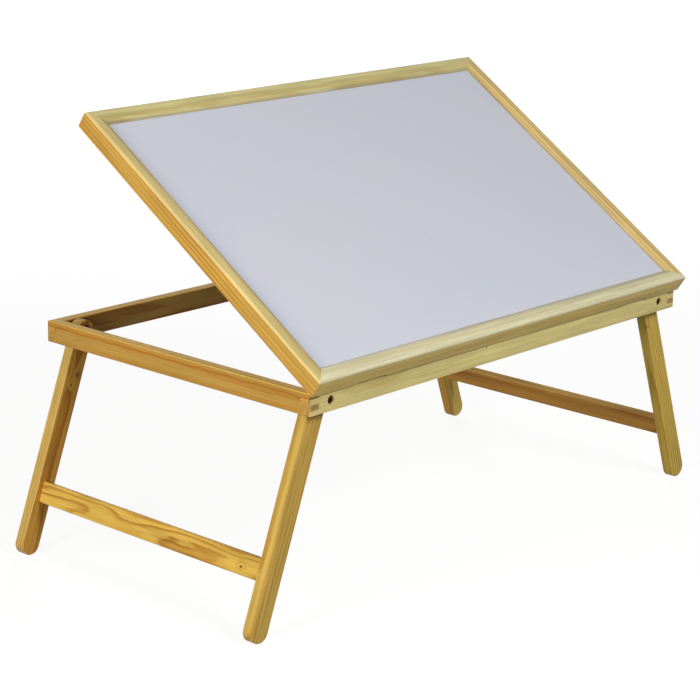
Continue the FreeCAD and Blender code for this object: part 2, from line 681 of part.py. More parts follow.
def bearer_dowel_holes(name, end):
    return [
        dowel_hole(f"{name}_{key}_dowel_hole", *place)
        for key, place in BEARER_DOWELS.items() if key.startswith(end)
    ]


def corner_staple(name, x, y, turn):
    """A wire staple driven in from below, its crown across the mitre."""
    half = "Sizes.staple_width / 2"
    wire = "Sizes.staple_wire"
    crown = block(name + "_crown", at(f"-{half}", f"-{wire} / 2", "0"), "Sizes.staple_width", wire, wire)
    legs = [
        block(f"{name}_leg_{key}", at(near, f"-{wire} / 2", "0"), wire, wire, "Sizes.staple_depth")
        for key, near in (("a", f"-{half}"), ("b", f"{half} - {wire}"))
    ]
    staple = union(name, [crown] + legs)
    staple.setExpression("Placement", at(x, y, "0", "0; 0; 1", turn))
    return staple


STAPLE_INSET = "Sizes.moulding_width / 2"
STAPLE_X = {"left": f"{STAPLE_INSET} - Layout.tray_width / 2", "right": f"Layout.tray_width / 2 - {STAPLE_INSET}"}
STAPLE_Y = {"front": f"{STAPLE_INSET} - Sizes.tray_overhang", "back": f"Layout.tray_back - {STAPLE_INSET}"}
STAPLE_TURN = {"front_left": "-45", "front_right": "45", "back_left": "45", "back_right": "-45"}
staples = {
    f"{end}_{side}": corner_staple(f"{end}_{side}_staple", x, y, STAPLE_TURN[f"{end}_{side}"])
    for end, y in STAPLE_Y.items()
    for side, x in STAPLE_X.items()
}
as_node(group("staples", list(staples.values())), "tray_corner_staples", TRAY)


def staples_in(place):
    """The staples that are driven into the moulding at one side of the tray."""
    return [staple for corner, staple in staples.items() if place in corner]


front_stock = mitred_moulding("front_moulding", "Layout.tray_width")
front_stock.setExpression("Placement", at(y="-Sizes.tray_overhang"))
front_cuts = bearer_dowel_holes("front_moulding", "front") + staples_in("front")
for side in HINGE_X:
    front_cuts += leaf_bed("front_moulding", side, "0", "-Sizes.closing_gap / 2", "0")
as_node(cut("front_moulding_cut", front_stock, front_cuts), "tray_front_moulding", TRAY)

back_stock = mitred_moulding("back_moulding", "Layout.tray_width")
back_stock.setExpression("Placement", at("0", "Layout.tray_back", "0", "0; 0; 1", "180"))
back_cuts = bearer_dowel_holes("back_moulding", "back") + staples_in("back")
as_node(cut("back_moulding_cut", back_stock, back_cuts), "tray_back_moulding", TRAY)

for side, x, turn in (("left", "-Layout.tray_width / 2", "-90"), ("right", "Layout.tray_width / 2", "90")):
    middle = "Layout.tray_depth / 2 - Sizes.tray_overhang"
    stock = mitred_moulding(f"{side}_moulding", "Layout.tray_depth")
    stock.setExpression("Placement", at(x, middle, "0", "0; 0; 1", turn))
    as_node(cut(f"{side}_moulding_cut", stock, staples_in(side)), f"tray_{side}_moulding", TRAY)

panel = block(
    "panel",
    f"{TRAY} * " + at("Layout.panel_margin - Layout.tray_width / 2",
                      "Layout.panel_margin - Sizes.tray_overhang", "Layout.panel_bottom"),
    "Layout.tray_width - 2 * Layout.panel_margin",
    "Layout.tray_depth - 2 * Layout.panel_margin",
    "Sizes.panel_thickness",
)
panel.Label = "tray_panel"
nodes.append(panel)

bearer = block(
    "bearer",
    at("-Sizes.spine_width / 2", BEARER_NEAR, "Layout.panel_bottom - Sizes.bearer_thickness"),
    "Sizes.spine_width", f"{BEARER_FAR} - ({BEARER_NEAR})", "Sizes.bearer_thickness",
)
bearer_bolt_hole = rod(
    "bearer_bolt_hole",
    along_x("-Sizes.spine_width", "Layout.prop_pivot_depth", "Layout.prop_pivot_z"),
    "Sizes.prop_bolt_diameter / 2 + Sizes.running_clearance", "2 * Sizes.spine_width",
)
bearer_relief = block(
    "bearer_relief",
    at("-Sizes.spine_width", "Layout.foot_y_lowered - Sizes.relief_width / 2", "0"),
    "2 * Sizes.spine_width", "Sizes.relief_width", "Layout.foot_room - Sizes.closing_gap / 2",
)
bearer_cuts = bearer_dowel_holes("bearer", "front") + bearer_dowel_holes("bearer", "back")
bearer_cuts += [bearer_bolt_hole, bearer_relief]
as_node(cut("bearer_cut", bearer, bearer_cuts), "tray_bearer", TRAY)
bearer_pins = [dowel(f"bearer_dowel_{key}", *place) for key, place in BEARER_DOWELS.items()]
as_node(group("bearer_dowels", bearer_pins), "tray_bearer_dowels", TRAY)


# ---------------------------------------------------------------- hinges
# Five knuckles: 1, 3 and 5 belong to the leaf on the frame, 2 and 4 to the leaf on the tray. A leaf
# is drawn on the pin's axis, its plate below the axis (frame) or above it (tray).
KNUCKLES = {"base": (1, 3, 5), "tray": (2, 4)}
BARREL = "Sizes.knuckle_diameter / 2"
PIN_HOLE = "Sizes.hinge_pin_diameter / 2 + Sizes.running_clearance"


def knuckle(name, number, radius, growth):
    """One knuckle's length of a rod on the pin's axis, longer at both ends by growth."""
    start = f"Layout.knuckle_pitch * {number - 1} - Sizes.hinge_length / 2 - ({growth})"
    return rod(name, along_x(start, "0", "0"), radius, f"Layout.knuckle_pitch + 2 * ({growth})")


def hinge_leaf(name, part):
    floor = {"base": "-Sizes.closing_gap / 2 - Sizes.leaf_thickness", "tray": "Sizes.closing_gap / 2"}[part]
    other = {"base": "tray", "tray": "base"}[part]
    plate = block(name + "_plate", at("-Sizes.hinge_length / 2", "0", floor), "Sizes.hinge_length",
                  "Sizes.leaf_width", "Sizes.leaf_thickness")
    own = [
        knuckle(f"{name}_knuckle_{n}", n, BARREL, "-Sizes.knuckle_gap / 2") for n in KNUCKLES[part]
    ]
    room = [
        knuckle(f"{name}_room_{n}", n, f"{BARREL} + Sizes.knuckle_room",
                "Sizes.knuckle_room - Sizes.knuckle_gap / 2")
        for n in KNUCKLES[other]
    ]
    bore = rod(name + "_bore", along_x("-Sizes.hinge_length", "0", "0"), PIN_HOLE, "2 * Sizes.hinge_length")
    outer = "Sizes.hinge_screw_head / 2 + Sizes.glue_line"
    inner = "Sizes.hinge_screw_diameter / 2 + Sizes.glue_line"
    wide, narrow = (outer, inner) if part == "tray" else (inner, outer)
    sinks = [
        cone(f"{name}_sink_{key}", at(x, "Sizes.hinge_screw_setback", floor), wide, narrow,
             "Sizes.leaf_thickness")
        for key, x in SCREW_X.items()
    ]
    return cut(name, union(name + "_solid", [plate] + own), room + [bore] + sinks)


def hinge_screw(name, x, part):
    """A countersunk screw, its head flush with the leaf and its point in the wood."""
    head = "Sizes.hinge_screw_head / 2"
    shank = "Sizes.hinge_screw_diameter / 2"
    y = "Sizes.hinge_screw_setback"
    if part == "base":
        bottom = "-Sizes.closing_gap / 2 - Sizes.leaf_thickness"
        head_cone = cone(name + "_head", at(x, y, bottom), shank, head, "Sizes.leaf_thickness")
        point = "-Sizes.closing_gap / 2 - Sizes.hinge_screw_length"
        body = rod(name + "_shank", at(x, y, point), shank, "Sizes.hinge_screw_length")
    else:
        bottom = "Sizes.closing_gap / 2"
        head_cone = cone(name + "_head", at(x, y, bottom), head, shank, "Sizes.leaf_thickness")
        body = rod(name + "_shank", at(x, y, bottom), shank, "Sizes.hinge_screw_length")
    return union(name, [head_cone, body])


HINGE_FRAME = {
    "base": lambda x: at(x, "0", "Layout.hinge_axis"),
    "tray": lambda x: at(x, "0", "-Sizes.closing_gap / 2"),
}
for part, body_frame in (("base", BASE), ("tray", TRAY)):
    screws = []
    for side, x in HINGE_X.items():
        hinge_place = HINGE_FRAME[part](x)
        leaf = hinge_leaf(f"{side}_{part}_leaf", part)
        as_node(leaf, f"{side}_hinge_{part}_leaf", f"{body_frame} * {hinge_place}")
        for key, screw_x in SCREW_X.items():
            screw = hinge_screw(f"{side}_{part}_screw_{key}", screw_x, part)
            screw.setExpression("Placement", hinge_place)
            screws.append(screw)
    as_node(group(f"{part}_screws", screws), f"hinge_{part}_screws", body_frame)
for side, x in HINGE_X.items():
    pin = rod(f"{side}_pin", f"{BASE} * " + along_x(f"{x} - Sizes.hinge_length / 2", "0", "Layout.hinge_axis"),
              "Sizes.hinge_pin_diameter / 2", "Sizes.hinge_length")
    pin.Label = f"{side}_hinge_pin"
    nodes.append(pin)


# ---------------------------------------------------------------- prop
# Two arms, one each side of the bearer and the centre rail, with a dowel through their lower ends.
# They are drawn on their pivot, with the foot towards -Z.
HALF_ARM = "Sizes.prop_arm_width / 2"
ARM_OUTLINE = [
    (HALF_ARM, "0", "y", "0"),
    (f"-{HALF_ARM}", "0"),
    (f"-{HALF_ARM}", "-Layout.prop_reach", "y", "-Layout.prop_reach"),
    (HALF_ARM, "-Layout.prop_reach"),
]
ARM_HOLES = [
    ("0", "0", "Sizes.prop_bolt_diameter / 2 + Sizes.running_clearance"),
    ("0", "-Layout.prop_reach", "Sizes.foot_dowel_diameter / 2 + Sizes.glue_line"),
]
for side, x in (("left", "-Layout.prop_outer"), ("right", "Layout.prop_inner")):
    arm = padded(f"{side}_arm", "YZ_Plane", ARM_OUTLINE, "Sizes.prop_arm_thickness", circles=ARM_HOLES)
    as_node(arm, f"prop_{side}_arm", f"{PROP} * {at(x)}")
foot = rod("foot", f"{PROP} * " + along_x("-Layout.prop_outer", "0", "-Layout.prop_reach"),
           "Sizes.foot_dowel_diameter / 2", "2 * Layout.prop_outer")
foot.Label = "prop_foot_dowel"
nodes.append(foot)

# The bolt that the prop swings on is held in the bearer, with its nut on the right.
PROP_BOLT_START = "-Layout.prop_outer - Sizes.side_play"
prop_head = rod("prop_bolt_head", along_x(f"{PROP_BOLT_START} - Sizes.prop_bolt_head_height", "0", "0"),
                "Sizes.prop_bolt_head_diameter / 2", "Sizes.prop_bolt_head_height")
prop_shank = rod(
    "prop_bolt_shank", along_x(PROP_BOLT_START, "0", "0"), "Sizes.prop_bolt_diameter / 2",
    "2 * (Layout.prop_outer + Sizes.side_play) + Sizes.nut_height + Sizes.bolt_tail",
)
prop_pivot = at("0", "Layout.prop_pivot_depth", "Layout.prop_pivot_z")
as_node(union("prop_bolt", [prop_head, prop_shank]), "prop_pivot_bolt", f"{TRAY} * {prop_pivot}")
prop_nut_near = "Layout.prop_outer + Sizes.side_play"
prop_nut = nut("prop_nut", at(), "0", "Sizes.prop_bolt_diameter / 2 + Sizes.running_clearance")
prop_nut_turn = at(prop_nut_near, "0", "0", "0; 0; 1", "-90")
as_node(prop_nut, "prop_pivot_nut", f"{TRAY} * {prop_pivot} * {prop_nut_turn}")


# ---------------------------------------------------------------- check and write
doc.recompute()
for item in doc.Objects:
    if {"Invalid", "Error"} & set(item.State):
        raise RuntimeError(f"{item.Name} failed: {item.State}")
os.makedirs("parts", exist_ok=True)
for piece in nodes:
    if piece.Shape.isNull() or not piece.Shape.isValid():
        raise RuntimeError(piece.Label + " has no valid shape")
for piece in nodes:
    piece.Shape.exportStep(os.path.join("parts", piece.Label + ".step"))
    print(f"{piece.Label:26s} {len(piece.Shape.Solids)} solids {piece.Shape.Volume / 1000:9.3f} cm3")
print(len(nodes), "nodes")
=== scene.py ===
import math

import bmesh
import bpy
from mathutils import Matrix, Vector


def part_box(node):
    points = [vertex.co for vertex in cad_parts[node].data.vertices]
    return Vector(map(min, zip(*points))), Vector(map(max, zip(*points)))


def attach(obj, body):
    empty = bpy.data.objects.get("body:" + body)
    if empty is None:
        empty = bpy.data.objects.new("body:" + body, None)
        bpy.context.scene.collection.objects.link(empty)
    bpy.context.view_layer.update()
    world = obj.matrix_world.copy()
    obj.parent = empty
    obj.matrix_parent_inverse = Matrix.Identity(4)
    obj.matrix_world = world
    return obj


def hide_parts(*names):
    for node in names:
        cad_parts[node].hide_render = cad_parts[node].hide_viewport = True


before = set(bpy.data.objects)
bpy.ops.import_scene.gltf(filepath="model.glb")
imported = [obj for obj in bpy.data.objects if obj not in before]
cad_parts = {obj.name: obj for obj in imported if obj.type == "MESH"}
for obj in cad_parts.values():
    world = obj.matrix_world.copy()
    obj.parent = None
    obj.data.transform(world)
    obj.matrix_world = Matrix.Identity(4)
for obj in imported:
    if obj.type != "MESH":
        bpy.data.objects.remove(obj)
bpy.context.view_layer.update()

# ---------------------------------------------------------------------------------------------
# Base frame: two long rails and two side rails of planed pine, 22.5 x 12.5 mm, glued at the
# corners with four rows of fingers. Arrises are eased with sandpaper and the wood has a satin
# lacquer. Its colour goes from pale straw on the front rail to orange on the side rails, partly the
# pine's own tone and partly painted light: each rail's colours are set to the light on its faces.
# ---------------------------------------------------------------------------------------------
X, Y, Z = Vector((1, 0, 0)), Vector((0, 1, 0)), Vector((0, 0, 1))


def srgb(red, green, blue):
    """A colour given as 0-255, as the linear values that a shader takes."""
    channels = [c / 255 for c in (red, green, blue)]
    return [c / 12.92 if c <= 0.04045 else ((c + 0.055) / 1.055) ** 2.4 for c in channels] + [1]


def bare_material(name):
    """A material with one plain shader, and that shader."""
    material = bpy.data.materials.new(name)
    material.use_nodes = True
    nodes = material.node_tree.nodes
    nodes.clear()
    output = nodes.new("ShaderNodeOutputMaterial")
    surface = nodes.new("ShaderNodeBsdfPrincipled")
    material.node_tree.links.new(surface.outputs[0], output.inputs["Surface"])
    return material, surface


class Wiring:
    """Short calls that add nodes to one tree and join them."""

    def __init__(self, tree):
        self.nodes = tree.nodes
        self.links = tree.links

    def node(self, kind, settings=None, **inputs):
        made = self.nodes.new(kind)
        for key, value in (settings or {}).items():
            setattr(made, key, value)
        for key, value in inputs.items():
            socket = made.inputs[int(key[1:])] if key[0] == "_" else made.inputs[key.replace("_", " ")]
            if isinstance(value, bpy.types.NodeSocket):
                self.links.new(value, socket)
            else:
                socket.default_value = value
        return made

    def math(self, operation, a, b=0.0, c=0.0, clamp=False):
        settings = {"operation": operation, "use_clamp": clamp}
        return self.node("ShaderNodeMath", settings, _0=a, _1=b, _2=c).outputs[0]

    def vector(self, operation, a, b=(0, 0, 0)):
        made = self.node("ShaderNodeVectorMath", {"operation": operation}, _0=a, _1=b)
        return made.outputs["Value" if operation in ("LENGTH", "DOT_PRODUCT") else "Vector"]

    def noise(self, vector, scale, detail=2.0, rough=0.5):
        made = self.node("ShaderNodeTexNoise", None, Vector=vector, Scale=scale, Detail=detail,
                         Roughness=rough)
        return made.outputs[0]

    def figure(self, place, waves, detail=2.0, rough=0.5):
        """Noise with its own number of waves to the metre in each direction."""
        return self.noise(self.vector("MULTIPLY", place, waves), 1.0, detail, rough)

    def rise(self, value, low, high, start=0.0, end=1.0):
        made = self.node("ShaderNodeMapRange", {"interpolation_type": "SMOOTHSTEP"}, Value=value)
        for key, number in zip(("From Min", "From Max", "To Min", "To Max"), (low, high, start, end)):
            made.inputs[key].default_value = number
        return made.outputs[0]

    def mix(self, factor, a, b, blend="MIX"):
        settings = {"data_type": "RGBA", "blend_type": blend}
        return self.node("ShaderNodeMix", settings, _0=factor, _6=a, _7=b).outputs[2]

    def ramp(self, value, stops):
        made = self.node("ShaderNodeValToRGB", None, Fac=value)
        elements = made.color_ramp.elements
        while len(elements) < len(stops):
            elements.new(0.5)
        for element, (place, level) in zip(elements, stops):
            element.position = place
            element.color = (level, level, level, 1)
        return made.outputs[0]

    def grey(self, level):
        return self.node("ShaderNodeCombineXYZ", None, X=level, Y=level, Z=level).outputs[0]

    def own_place(self):
        return self.node("ShaderNodeTexCoord").outputs["Object"]

    def mark(self, name, output="Fac"):
        """What a piece's mesh says about itself at this point."""
        return self.node("ShaderNodeAttribute", {"attribute_name": name}).outputs[output]

    def finish(self, surface, colour, rough, relief, strength, depth):
        """Give a shader its colour, its roughness and its fine relief."""
        bump = self.node("ShaderNodeBump", None, Strength=strength, Distance=depth, Height=relief)
        self.links.new(colour, surface.inputs["Base Color"])
        self.links.new(rough, surface.inputs["Roughness"])
        self.links.new(bump.outputs[0], surface.inputs["Normal"])


# How fine each part of the figure is: waves to the metre along, across and through a stick.
SWAY = (5.5, 26, 26)
RIPPLE = (22, 120, 120)
PATCHES = (9, 60, 60)
LINE_BENDS = (38, 0, 0)
FIBRES = (30, 1500, 1500)
STRANDS = (9, 480, 480)
CLOUDS = (12, 90, 90)
CUT_PORES = (40, 160, 1500)
# How dark the wood gets from the start of a year to its end.
YEAR = [(0.0, 0.25), (0.12, 0.0), (0.45, 0.12), (0.78, 0.85), (0.92, 1.0), (1.0, 0.25)]
# A knot's length by its width, and its colour.
KNOT_LENGTH = 1.5
KNOT_COLOUR = (92, 58, 22)
# A single dark year: how far it swings, how far its core and its edge are from its middle.
LINE_SWING = 0.005
LINE_CORE, LINE_EDGE = 0.0004, 0.0019
LINE_DARKNESS = 1.35
# How much the far arris is darkened: painted shade on the arris turned away from the lamps.
SHADE_ON_FAR_ARRIS = 0.55
# Painted shade beside the panel, cooled as a painted reflection of it, by how far a point is from a
# moulding's middle.
PANEL_SHADE_START, PANEL_SHADE_FULL = 0.0062, 0.0082
PANEL_EDGE_SHADE = (0.8, 0.81, 0.96, 1)


def pine(name, early, late, shift=(0, 0, 0), ring=0.0034, pith=(0.003, -0.03), wander=0.0022,
         lit_side=None, outer=None, knots=(), line=None, inside=0, end=(0.55, 0.47, 0.36), strength=1.0):
    """Planed pine. early and late are the colours of the pale and the dark part of a year ring, and
    the pairs given for the lit side and the outer side are that pair on those sides of the stick.
    The lit side's pair is a copy of the wood recoloured for the light on that side, painted light,
    mostly paler; the outer pair gives the far side the wood's unshaded colour where early and late
    are darkened as painted shade. ring is a year's growth, pith is where the heart of the tree lies
    across the stick, and wander is how far the grain strays along it. A knot is (along, across,
    depth, radius), from the middle, and line is where across a dark year shows as one wavy line.
    inside is 1 or -1 where the arris on that side across meets the panel; there the colour is
    darkened and cooled, painted shade with a painted reflection of the white panel. end is how
    much darker or paler the cut fibres are, and strength is how plainly the rings show."""
    material, surface = bare_material(name)
    w = Wiring(material.node_tree)
    place = w.mark("grain", "Vector")
    wood = w.vector("ADD", place, shift)
    side_place = w.node("ShaderNodeSeparateXYZ", None, Vector=place).outputs[1]

    from_pith = w.vector("MULTIPLY", w.vector("SUBTRACT", place, (0, *pith)), (0, 1, 1))
    sway = w.math("MULTIPLY", w.math("SUBTRACT", w.figure(wood, SWAY), 0.5), wander * 4)
    ripple = w.math("MULTIPLY", w.math("SUBTRACT", w.figure(wood, RIPPLE, 3.0), 0.5), wander * 0.7)
    radius = w.math("ADD", w.vector("LENGTH", from_pith), w.math("ADD", sway, ripple))
    spots = None
    for along, across, depth, size in knots:
        offset = w.vector("SUBTRACT", place, (along, across, depth))
        near = w.vector("LENGTH", w.vector("DIVIDE", offset, (size * KNOT_LENGTH, size, size)))
        radius = w.math("ADD", radius, w.rise(near, 0.6, 4.0, size * 1.2, 0.0))
        spot = w.rise(near, 0.55, 1.15, 1.0, 0.0)
        spots = spot if spots is None else w.math("MAXIMUM", spots, spot)
    rings = w.ramp(w.math("FRACT", w.math("DIVIDE", radius, ring)), YEAR)
    plainness = w.rise(w.figure(wood, PATCHES), 0.25, 0.75, 0.45, strength)
    rings = w.math("MULTIPLY", rings, plainness, clamp=True)
    if line is not None:
        bend = w.math("SUBTRACT", w.figure(wood, LINE_BENDS, 1.0), 0.5)
        bent_place = w.math("ADD", side_place, w.math("MULTIPLY", bend, LINE_SWING))
        off_line = w.math("ABSOLUTE", w.math("SUBTRACT", bent_place, line))
        rings = w.math("MAXIMUM", rings, w.rise(off_line, LINE_CORE, LINE_EDGE, LINE_DARKNESS, 0.0))

    colour = w.mix(rings, srgb(*early), srgb(*late))
    # The lit side and the outer side take their own pairs: painted light on the lit side, the wood's
    # unshaded colour on the outer side.
    for side, pair in (("painted_lit_side", lit_side), ("outer_side", outer)):
        if pair is not None:
            pale, dark = pair
            colour = w.mix(w.mark(side), colour, w.mix(rings, srgb(*pale), srgb(*dark)))
    fibre = w.figure(wood, FIBRES, 3.0, 0.6)
    strand = w.rise(w.figure(wood, STRANDS, 3.0, 0.65), 0.25, 0.75, -0.12, 0.12)
    cloud = w.rise(w.figure(wood, CLOUDS), 0.2, 0.8, 0.9, 1.1)
    tone = w.math("ADD", w.math("ADD", w.rise(fibre, 0.2, 0.8, -0.09, 0.09), cloud), strand)
    # The far arris is darkened by this share: painted shade on the arris turned away from the lamps.
    far_shade = w.math("MULTIPLY", w.mark("far_arris_shade"), SHADE_ON_FAR_ARRIS)
    tone = w.math("MULTIPLY", tone, w.math("SUBTRACT", 1.0, far_shade))
    colour = w.mix(1.0, colour, w.grey(tone), "MULTIPLY")
    # Beside the panel the colour is darkened and cooled: painted shade with a painted reflection of the
    # white panel.
    if inside:
        edge = w.rise(w.math("MULTIPLY", side_place, inside), PANEL_SHADE_START, PANEL_SHADE_FULL)
        colour = w.mix(edge, colour, w.mix(1.0, colour, PANEL_EDGE_SHADE, "MULTIPLY"))
    if spots is not None:
        colour = w.mix(w.math("MULTIPLY", spots, 0.85), colour, srgb(*KNOT_COLOUR))
    pores = w.rise(w.figure(wood, CUT_PORES, 3.0, 0.6), 0.35, 0.65, 0.72, 1.2)
    cut = w.mix(1.0, w.mix(1.0, colour, (*end, 1), "MULTIPLY"), w.grey(pores), "MULTIPLY")
    colour = w.mix(w.mark("end_grain"), colour, cut)

    rough = w.math("ADD", w.rise(fibre, 0.2, 0.8, 0.36, 0.5), w.math("MULTIPLY", rings, -0.05))
    relief = w.math("ADD", w.math("MULTIPLY", fibre, 0.6), w.math("MULTIPLY", rings, 0.4))
    w.finish(surface, colour, rough, relief, strength=0.25, depth=0.00012)
    surface.inputs["Specular IOR Level"].default_value = 0.1
    return material


SAME_POINT = 1e-6
SAME_PLANE = math.radians(0.6)
SHARP = math.radians(35)
SHADED_SHARP = math.radians(40)


def merged_copy(node):
    """The CAD node's shape with its loose triangles joined and flat areas made one face."""
    shape = bmesh.new()
    shape.from_mesh(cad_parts[node].data)
    bmesh.ops.remove_doubles(shape, verts=shape.verts, dist=SAME_POINT)
    bmesh.ops.dissolve_limit(shape, angle_limit=SAME_PLANE, verts=shape.verts, edges=shape.edges)
    return shape


def ease(shape, width, chosen, segments=2):
    """Round the chosen sharp edges of a shape."""
    edges = [e for e in shape.edges if len(e.link_faces) == 2 and e.calc_face_angle(0) > SHARP and chosen(e)]
    bmesh.ops.bevel(shape, geom=edges, offset=width, segments=segments, profile=0.5, affect="EDGES",
                    clamp_overlap=False, miter_outer="ARC")


def finished(shape, name, node, body, slot, *materials):
    """Turn a shape into a piece that stands for a CAD node."""
    mesh = bpy.data.meshes.new(name)
    bmesh.ops.recalc_face_normals(shape, faces=shape.faces)
    shape.to_mesh(mesh)
    shape.free()
    mesh.shade_smooth()
    mesh.set_sharp_from_angle(angle=SHADED_SHARP)
    for material in materials:
        mesh.materials.append(material)
    piece = bpy.data.objects.new(name, mesh)
    bpy.context.scene.collection.objects.link(piece)
    flat = piece.modifiers.new("flat faces stay flat", "WEIGHTED_NORMAL")
    flat.keep_sharp = True
    evaluated = piece.evaluated_get(bpy.context.evaluated_depsgraph_get())
    piece.data = bpy.data.meshes.new_from_object(evaluated)
    piece.modifiers.clear()
    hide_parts(node)
    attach(piece, body)
    return piece


EDGE_ON, FACE_ON = 0.12, 0.95


def turned(amount, start):
    """0 to 1 as a face turns towards a direction. amount is the cosine of the angle between them."""
    return min(max((amount - start) / 0.3, 0), 1)


def lay_grain(mesh, along, across, lit_side, far):
    """Give each point its place in the stick, from the middle: along, across and through it. Faces
    that cut the fibres are marked as end grain, those turned to the lit side's direction as the lit
    side, which takes painted light, and those turned to far as the outer side. The arris between
    these two sides is marked as the far arris, which takes painted shade."""
    low = [min(v.co[i] for v in mesh.vertices) for i in range(3)]
    high = [max(v.co[i] for v in mesh.vertices) for i in range(3)]
    middle = (Vector(low) + Vector(high)) / 2
    along, across = along.normalized(), across.normalized()
    depth = along.cross(across)
    places = mesh.attributes.new("grain", "FLOAT_VECTOR", "POINT")
    for vertex, place in zip(mesh.vertices, places.data):
        offset = vertex.co - middle
        place.vector = (offset.dot(along), offset.dot(across), offset.dot(depth))
    ends = mesh.attributes.new("end_grain", "FLOAT", "FACE")
    sides = mesh.attributes.new("painted_lit_side", "FLOAT", "FACE")
    arrises = mesh.attributes.new("far_arris_shade", "FLOAT", "FACE")
    outers = mesh.attributes.new("outer_side", "FLOAT", "FACE")
    marks = zip(mesh.polygons, ends.data, sides.data, arrises.data, outers.data)
    for face, end, side, arris, outer in marks:
        to_lit_side = face.normal.dot(lit_side)
        slanted = EDGE_ON < to_lit_side < FACE_ON
        arris.value = float(slanted and (face.normal - to_lit_side * lit_side).dot(far) > 0.1)
        end.value = turned(abs(face.normal.dot(along)), 0.6)
        # From a small slant on, so a moulding's rounded shoulder takes the lit side's pair as a painted
        # highlight.
        side.value = turned(to_lit_side, 0.05)
        outer.value = turned(face.normal.dot(far), 0.6)


NOWHERE = Vector()


def stick(name, node, body, along, across, material, chosen, width=0.0007, lit_side=Z, far=NOWHERE):
    """A piece of pine with eased arrises. chosen tells which edges are eased, by width."""
    shape = merged_copy(node)
    ease(shape, width, chosen)
    piece = finished(shape, name, node, body, "pine", material)
    lay_grain(piece.data, along, across, lit_side, far)
    return piece


frame_low = Vector(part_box("base_front_rail")[0])
frame_high = Vector(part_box("base_back_rail")[1])
LONGER_THAN_HINGE = 0.05
ON_PLANE = 1e-5


def on_frame_corner(edge):
    """The edge lies on two of the frame's outer planes, or is longer than a hinge's hollow."""
    if edge.calc_length() > LONGER_THAN_HINGE:
        return True
    middle = (edge.verts[0].co + edge.verts[1].co) / 2
    off_planes = [min(abs(middle[i] - frame_low[i]), abs(middle[i] - frame_high[i])) for i in range(3)]
    return sum(off < ON_PLANE for off in off_planes) >= 2


# Each pair is the pale and the dark part of a year. SHADED is a darkened copy, painted shade for
# faces in the tray's shade, and AMBER a paler copy, painted light on the rails' tops.
STRAW = ((209, 193, 129), (184, 158, 84))
ORANGE = ((178, 140, 68), (166, 112, 40))
SHADED = ((154, 122, 64), (126, 80, 28))
AMBER = ((228, 190, 88), (196, 136, 48))
GOLD = ((206, 166, 88), (182, 126, 50))

front_rail_pine = pine("pine front rail", *STRAW, shift=(0.31, 0.002, 0.011), ring=0.007,
                       pith=(0.006, -0.05), strength=0.6, end=(0.84, 0.58, 0.36),
                       knots=[(-0.037, 0.0065, 0.006, 0.0009)])
back_rail_pine = pine("pine back rail", *SHADED, shift=(1.7, 0.03, 0.02), ring=0.004, lit_side=AMBER,
                      outer=GOLD, end=(1.5, 1.4, 1.4))
left_rail_pine = pine("pine left rail", *ORANGE, shift=(2.9, 0.01, 0.0), ring=0.0095, strength=0.6,
                      pith=(0.018, -0.03), wander=0.0025, lit_side=AMBER, line=0.0062, end=(0.78, 0.95, 1.5))
right_rail_pine = pine("pine right rail", *SHADED, shift=(4.1, 0.0, 0.03), ring=0.005, lit_side=AMBER,
                       end=(1.3, 1.5, 2.0))
stick("front_rail_wood", "base_front_rail", "base", X, Z, front_rail_pine, on_frame_corner)
stick("back_rail_wood", "base_back_rail", "base", X, Z, back_rail_pine, on_frame_corner, far=Y)
stick("left_rail_wood", "base_left_rail", "base", Y, Z, left_rail_pine, on_frame_corner)
stick("right_rail_wood", "base_right_rail", "base", Y, Z, right_rail_pine, on_frame_corner)


# ---------------------------------------------------------------------------------------------
# Centre rail: the same pine, dowelled between the long rails, with the rack of half-round seats
# that the prop's foot stands in. Two birch dowels at each end are hidden in the joints.
# ---------------------------------------------------------------------------------------------
BORE_OR_STEP = 0.008


def long_edges(edge):
    """Edges longer than those of the dowels' bores and the rack's small steps."""
    return edge.calc_length() > BORE_OR_STEP


centre_pine = pine("pine centre rail", *SHADED, shift=(5.3, 0.02, 0.01), ring=0.0045, lit_side=AMBER)
stick("centre_rail_wood", "centre_rail", "base", Y, X, centre_pine, long_edges, width=0.0004)


def tinted(colour, red, green, blue):
    """A linear colour with each channel taken down to a share."""
    return [c * share for c, share in zip(colour, (red, green, blue))] + [1]


def plain_wood(name, colour):
    """Turned birch: even, fine grained, unfinished."""
    material, surface = bare_material(name)
    w = Wiring(material.node_tree)
    fibre = w.figure(w.own_place(), (900, 60, 900), 3.0, 0.6)
    base = srgb(*colour)
    colour = w.mix(fibre, tinted(base, 0.86, 0.86, 0.86), base)
    w.finish(surface, colour, w.rise(fibre, 0.2, 0.8, 0.5, 0.66), fibre, strength=0.2, depth=0.0001)
    return material


def dress(node, material):
    """Give a CAD node that keeps its own shape a finish."""
    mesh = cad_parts[node].data
    mesh.materials.clear()
    mesh.materials.append(material)


birch = plain_wood("birch dowel", (214, 186, 136))
dress("centre_rail_dowels", birch)


# ---------------------------------------------------------------------------------------------
# Pivot bolts: M5 socket-head bolts of darkened steel, sunk in the long rails, each with a spacer
# between rail and leg, a washer and a nut on the inside.
# ---------------------------------------------------------------------------------------------
def metal(name, colour, rough=0.38, streak=0.12):
    """Worn metal. rough is its mean roughness and streak how far it strays from that."""
    material, surface = bare_material(name)
    w = Wiring(material.node_tree)
    place = w.own_place()
    dull = w.figure(place, (260, 260, 260), 4.0, 0.6)
    scratch = w.figure(place, (1800, 1800, 2600))
    base = srgb(*colour)
    colour = w.mix(w.rise(dull, 0.3, 0.7), tinted(base, 0.6, 0.6, 0.6), base)
    uneven = w.rise(dull, 0.2, 0.8, rough - streak, rough + streak)
    uneven = w.math("ADD", uneven, w.math("MULTIPLY", scratch, 0.08))
    w.finish(surface, colour, uneven, scratch, strength=0.15, depth=0.00005)
    surface.inputs["Metallic"].default_value = 1.0
    return material


